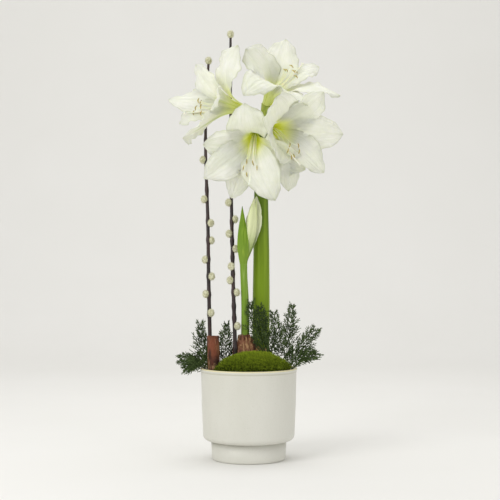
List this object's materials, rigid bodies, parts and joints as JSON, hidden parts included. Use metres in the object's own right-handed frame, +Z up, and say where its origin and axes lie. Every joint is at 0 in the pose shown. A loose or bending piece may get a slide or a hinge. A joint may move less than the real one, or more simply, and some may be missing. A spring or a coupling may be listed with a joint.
{
  "type": "potted amaryllis",
  "caption": "White amaryllis in flower and bud in a footed glazed pot, dressed with moss, conifer sprigs, pussy willow twigs and a roll of bark.",
  "frame": {"origin": "centre of the pot's flat underside, where it rests", "axes": "+Z up along the pot's axis, -Y towards the front, where the moss cushion and the bud are, +X to the right seen from the front"},
  "size_m": [0.2897, 0.1855, 0.7178],
  "materials": {
    "pot_glaze": "satin off-white glaze with a thin cream line at the rim",
    "soil": "dark crumbly potting compost",
    "moss": "short dense olive-green moss",
    "bulb_skin": "dry brown papery bulb skin",
    "flower_stem": "smooth waxy yellow-green stem",
    "bud_stem": "smooth stem with a pale bloom",
    "bud_sheath": "green sheath, paler and papery on one side",
    "bud_blossom": "pale greenish white unopened petals",
    "petal": "satin white, veined, greenish yellow in the throat",
    "flower_stalk": "smooth green stalk, white style",
    "stamens": "cream filaments, yellow-brown anthers",
    "willow": "very dark brown bark with pale furry catkins",
    "cinnamon_bark": "rough reddish brown rolled bark",
    "conifer": "dark green scale leaves"
  },
  "bodies": {
    "root": {"bud_flowers": "bud_blossom", "bud_stem": "bud_stem", "bulb": "bulb_skin", "cinnamon_stick": "cinnamon_bark", "flower_stem": "flower_stem", "front_flower_inner_lower_left_petal": "petal", "front_flower_inner_right_petal": "petal", "front_flower_inner_upper_left_petal": "petal", "front_flower_outer_bottom_petal": "petal", "front_flower_outer_left_petal": "petal", "front_flower_outer_top_petal": "petal", "front_flower_stalk": "flower_stalk", "front_flower_stamens": "stamens", "left_flower_inner_front_petal": "petal", "left_flower_inner_rear_bottom_petal": "petal", "left_flower_inner_rear_top_petal": "petal", "left_flower_outer_bottom_petal": "petal", "left_flower_outer_rear_petal": "petal", "left_flower_outer_top_petal": "petal", "left_flower_stalk": "flower_stalk", "left_flower_stamens": "stamens", "moss_cushion": "moss", "pot": "pot_glaze", "right_flower_inner_lower_left_petal": "petal", "right_flower_inner_lower_right_petal": "petal", "right_flower_inner_upper_right_petal": "petal", "right_flower_outer_bottom_petal": "petal", "right_flower_outer_right_petal": "petal", "right_flower_outer_upper_left_petal": "petal", "right_flower_stalk": "flower_stalk", "right_flower_stamens": "stamens", "soil": "soil", "spathe_left": "bud_sheath", "spathe_right": "bud_sheath", "sprig_centre": "conifer", "sprig_centre_left": "conifer", "sprig_left_front": "conifer", "sprig_left_high": "conifer", "sprig_left_low": "conifer", "sprig_middle": "conifer", "sprig_right_low": "conifer", "sprig_right_near": "conifer", "sprig_right_out": "conifer", "sprig_right_tall": "conifer", "top_flower_inner_front_petal": "petal", "top_flower_inner_right_petal": "petal", "top_flower_inner_upper_left_petal": "petal", "top_flower_outer_left_petal": "petal", "top_flower_outer_lower_right_petal": "petal", "top_flower_outer_top_petal": "petal", "top_flower_stalk": "flower_stalk", "top_flower_stamens": "stamens", "willow_left": "willow", "willow_middle": "willow"}
  },
  "joints": []
}
